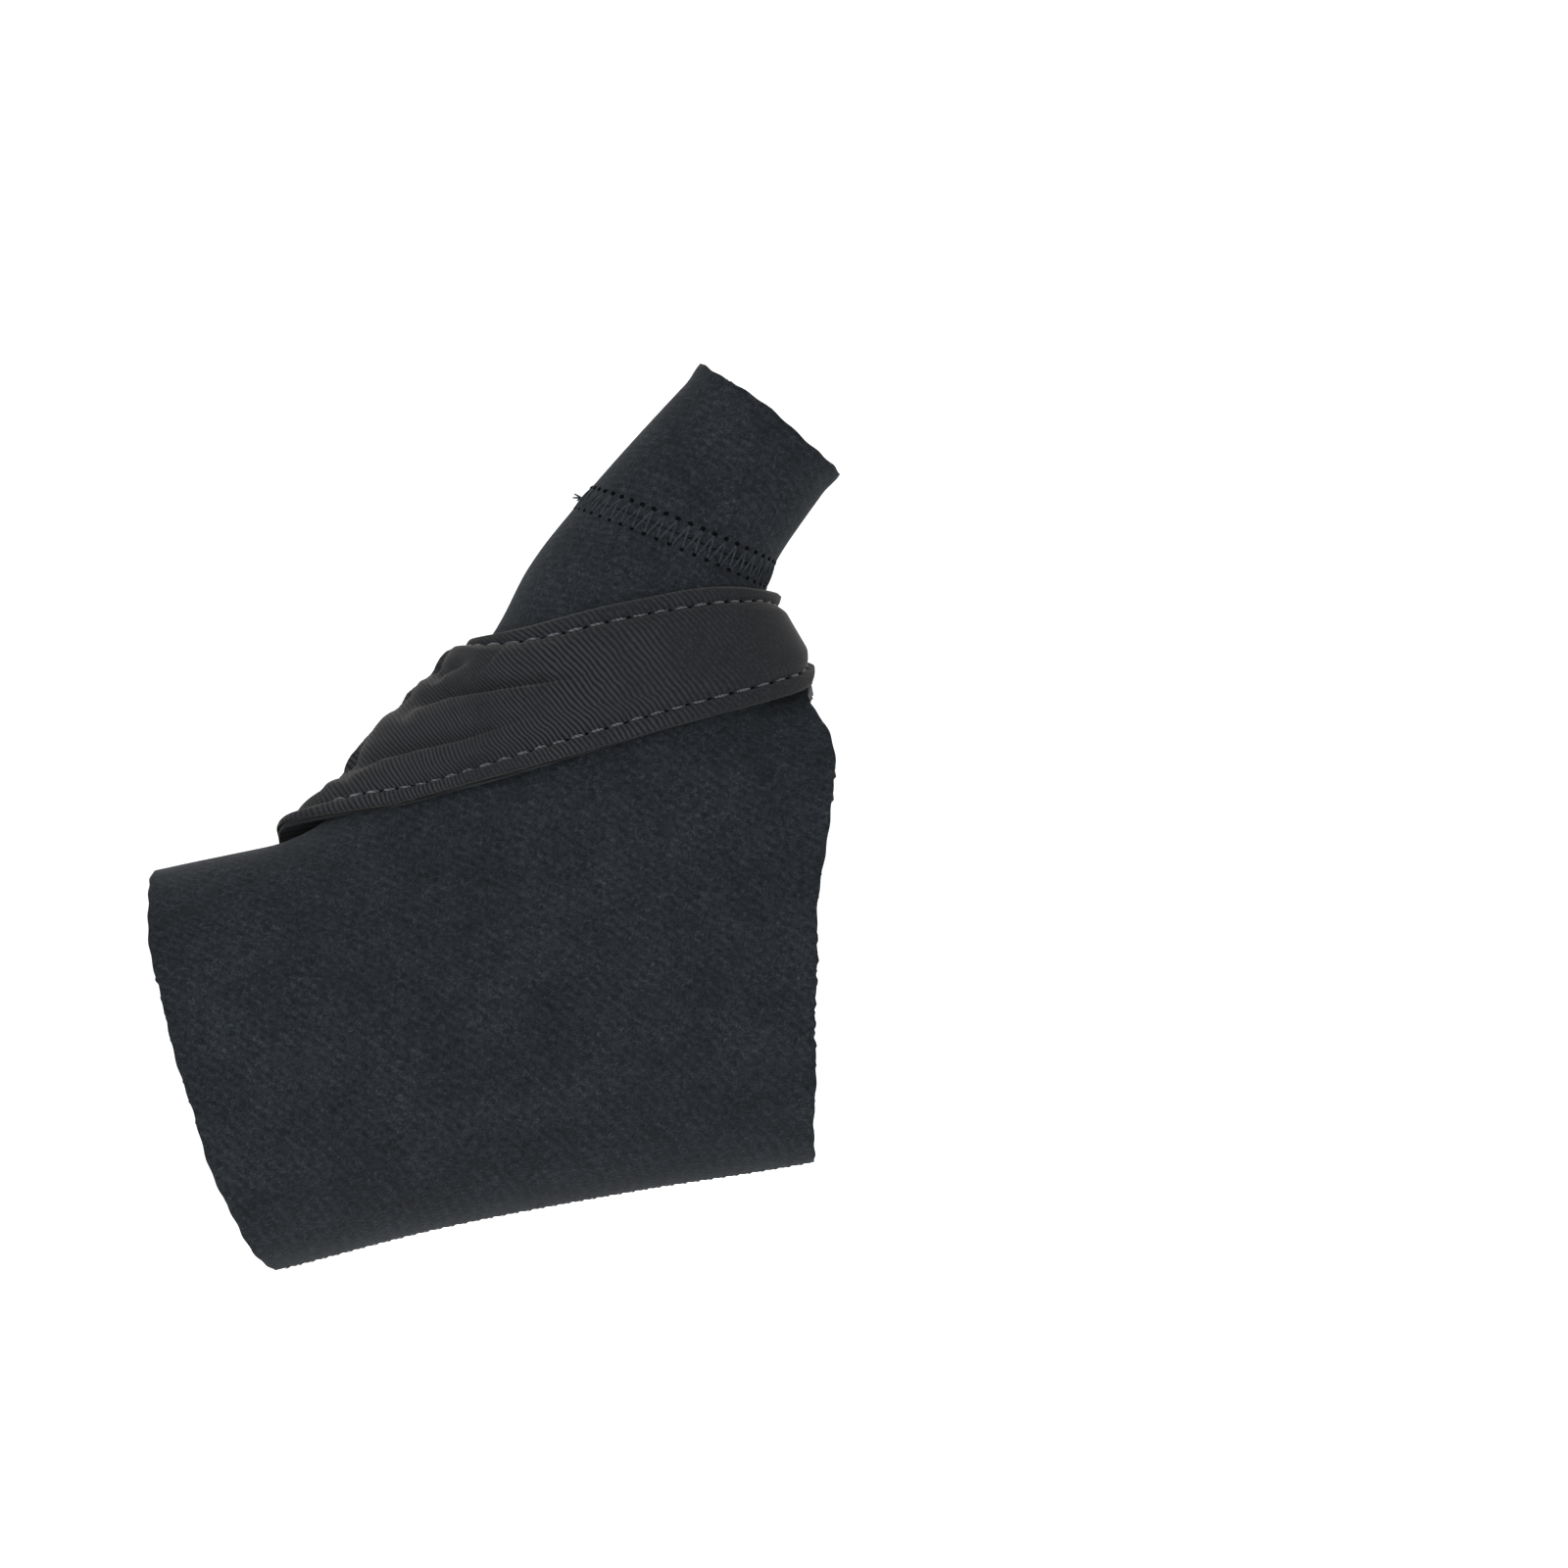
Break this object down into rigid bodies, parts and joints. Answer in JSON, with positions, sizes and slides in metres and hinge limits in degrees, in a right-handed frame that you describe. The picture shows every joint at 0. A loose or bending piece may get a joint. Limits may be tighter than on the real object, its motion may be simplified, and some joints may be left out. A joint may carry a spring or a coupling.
{
  "type": "wrist and thumb support brace",
  "caption": "Padded wrist sleeve with a thumb tube and a wrap strap that is anchored behind the thumb web and held at the wrist by a hook patch.",
  "frame": {"origin": "centre of the wrist opening, on the forearm's axis", "axes": "+X along the sleeve from the wrist opening to the fingers, +Z to the thumb side, +Y to the back of the hand, so the palm faces -Y"},
  "size_m": [0.1204, 0.0525, 0.1294],
  "materials": {
    "loop_cloth": "brushed loop-pile knit face, slate black",
    "neoprene_foam": "closed-cell neoprene foam, matte black",
    "lining_cloth": "smooth jersey knit, black",
    "strap_twill": "stretch twill with a fine diagonal rib, charcoal",
    "hook_tape": "moulded nylon hooks on a woven tape",
    "thread": "twisted polyester sewing thread, dark grey"
  },
  "bodies": {
    "sleeve": {"sleeve_face_fabric": "loop_cloth", "sleeve_foam_core": "neoprene_foam", "sleeve_lining": "lining_cloth", "thumb_base_face_fabric": "loop_cloth", "thumb_base_foam_core": "neoprene_foam", "thumb_base_lining": "lining_cloth", "strap_backing": "lining_cloth", "strap_foam_core": "neoprene_foam", "strap_face_fabric": "strap_twill", "strap_lower_edge_thread": "thread", "strap_upper_edge_thread": "thread", "strap_anchor_thread": "thread", "thumb_base_seam_thread": "thread", "closing_seam_thread": "thread"},
    "thumb": {"thumb_tube_face_fabric": "loop_cloth", "thumb_tube_foam_core": "neoprene_foam", "thumb_tube_lining": "lining_cloth", "thumb_seam_thread": "thread", "thumb_closing_seam_thread": "thread"},
    "strap_end": {"strap_end_backing": "lining_cloth", "strap_end_foam_core": "neoprene_foam", "strap_end_face_fabric": "strap_twill", "hook_patch": "hook_tape", "hook_patch_thread": "thread"}
  },
  "joints": [
    {"name": "thumb_bend", "type": "hinge", "parent": "sleeve", "child": "thumb", "pos_m": [0.0902, 0, 0.0687], "axis": [0, 1, 0], "range_deg": [-15, 5], "stiffness_Nm_per_rad": 0.08, "deforming": ["thumb_base_face_fabric", "thumb_base_foam_core", "thumb_base_lining"]},
    {"name": "strap_peel", "type": "hinge", "parent": "sleeve", "child": "strap_end", "pos_m": [0.02, 0.0256, 0.014], "axis": [1, 0, 0], "range_deg": [0, 140]}
  ]
}
